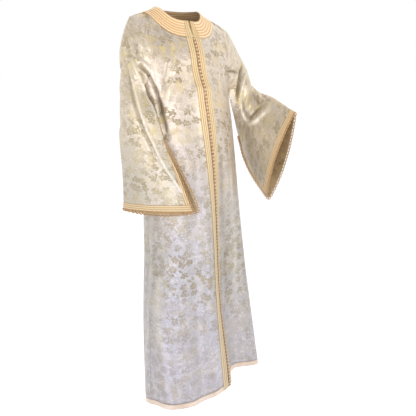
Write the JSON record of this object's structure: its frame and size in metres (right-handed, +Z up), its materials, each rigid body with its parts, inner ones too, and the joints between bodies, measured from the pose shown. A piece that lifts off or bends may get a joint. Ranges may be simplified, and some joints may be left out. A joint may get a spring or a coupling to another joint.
{
  "type": "moroccan kaftan",
  "caption": "Floor-length moroccan kaftan in woven brocade: braid collar, braid-edged knot-button closure down the front, trumpet sleeves slit at the cuff, worn shape with no wearer.",
  "frame": {"origin": "centre of the neck opening at the height of the shoulder seams, where the wearer's neck and shoulders hold the garment", "axes": "+Z up the garment, wearer faces -Y, wearer's left is +X"},
  "size_m": [0.6262, 0.3858, 1.4361],
  "materials": {
    "brocade": "satin brocade, soft metallic sheen",
    "braid": "ribbed braid, silky",
    "knots": "corded silk knots",
    "satin": "smooth satin"
  },
  "bodies": {
    "root": {"back": "brocade", "button_row": "knots", "collar": "braid", "cuff_trim_left": "braid", "cuff_trim_right": "braid", "front_left": "brocade", "front_right": "brocade", "hem_band_back": "satin", "hem_band_front_left": "satin", "hem_band_front_right": "satin", "placket_band_left": "braid", "placket_band_right": "braid", "sleeve_left": "brocade", "sleeve_right": "brocade"}
  },
  "joints": []
}
